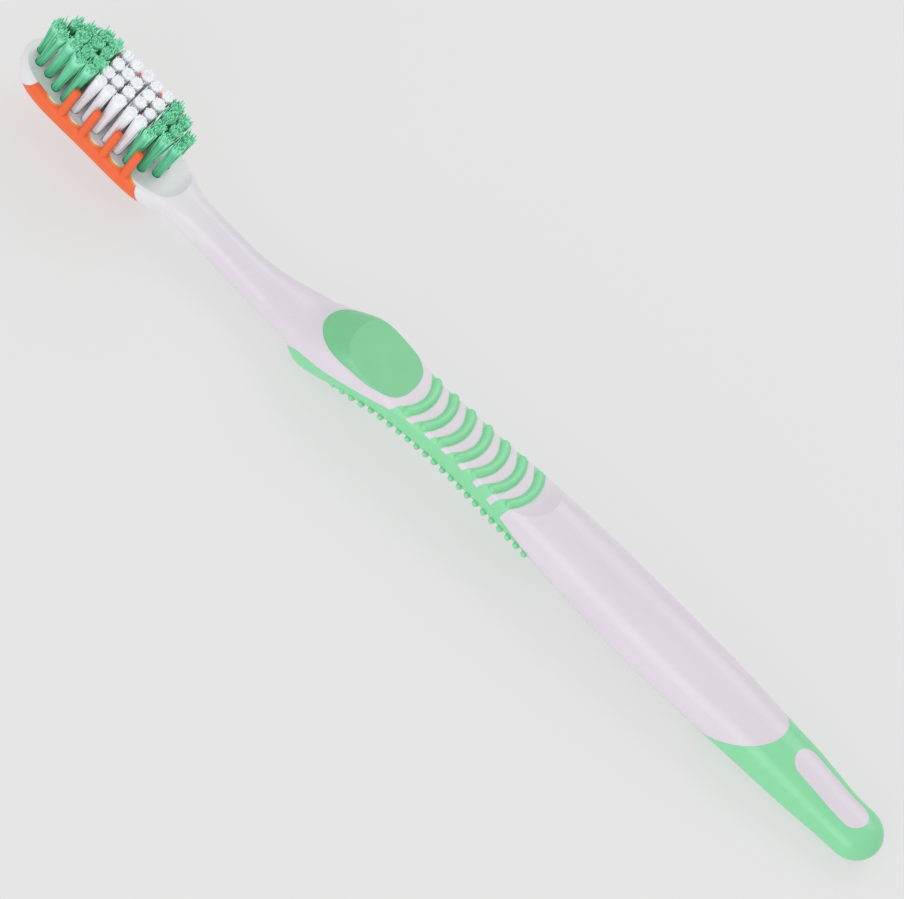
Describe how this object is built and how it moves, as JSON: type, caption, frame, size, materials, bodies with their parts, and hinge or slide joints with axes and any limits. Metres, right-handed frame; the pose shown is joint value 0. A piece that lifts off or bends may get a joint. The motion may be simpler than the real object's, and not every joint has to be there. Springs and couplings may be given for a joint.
{
  "type": "toothbrush",
  "caption": "Manual toothbrush: contoured plastic handle with ribbed soft grips and a thumb pad, and a tilted bristle head edged with soft rubber fingers.",
  "frame": {"origin": "under the middle of the length, on the surface that the brush lies on with its bristles up", "axes": "+X from the toe of the head to the tail, +Z the way the bristles point, Y = 0 the plane of symmetry"},
  "size_m": [0.19, 0.0132, 0.023],
  "materials": {
    "handle_plastic": "satin moulded",
    "green_rubber": "soft matte",
    "orange_rubber": "soft matte",
    "green_bristle": "nylon filament",
    "white_bristle": "nylon filament",
    "anchor_metal": "cut strip"
  },
  "bodies": {
    "root": {"handle_body": "handle_plastic", "gum_massager": "orange_rubber", "thumb_pad": "green_rubber", "back_grip": "green_rubber", "tail_grip": "green_rubber", "tuft_anchors": "anchor_metal", "tuft_green_toe_01": "green_bristle", "tuft_green_toe_02": "green_bristle", "tuft_green_toe_03": "green_bristle", "tuft_green_toe_04": "green_bristle", "tuft_green_toe_05": "green_bristle", "tuft_green_toe_06": "green_bristle", "tuft_green_toe_07": "green_bristle", "tuft_green_toe_08": "green_bristle", "tuft_green_toe_09": "green_bristle", "tuft_green_toe_10": "green_bristle", "tuft_green_toe_11": "green_bristle", "tuft_green_toe_12": "green_bristle", "tuft_green_toe_13": "green_bristle", "tuft_green_toe_14": "green_bristle", "tuft_white_01": "white_bristle", "tuft_white_02": "white_bristle", "tuft_white_03": "white_bristle", "tuft_white_04": "white_bristle", "tuft_white_05": "white_bristle", "tuft_white_06": "white_bristle", "tuft_white_07": "white_bristle", "tuft_white_08": "white_bristle", "tuft_white_09": "white_bristle", "tuft_white_10": "white_bristle", "tuft_white_11": "white_bristle", "tuft_white_12": "white_bristle", "tuft_white_13": "white_bristle", "tuft_white_14": "white_bristle", "tuft_white_15": "white_bristle", "tuft_white_16": "white_bristle", "tuft_white_17": "white_bristle", "tuft_white_18": "white_bristle", "tuft_white_19": "white_bristle", "tuft_white_20": "white_bristle", "tuft_green_heel_01": "green_bristle", "tuft_green_heel_02": "green_bristle", "tuft_green_heel_03": "green_bristle", "tuft_green_heel_04": "green_bristle", "tuft_green_heel_05": "green_bristle", "tuft_green_heel_06": "green_bristle", "tuft_green_heel_07": "green_bristle", "tuft_green_heel_08": "green_bristle", "tuft_green_heel_09": "green_bristle"}
  },
  "joints": []
}
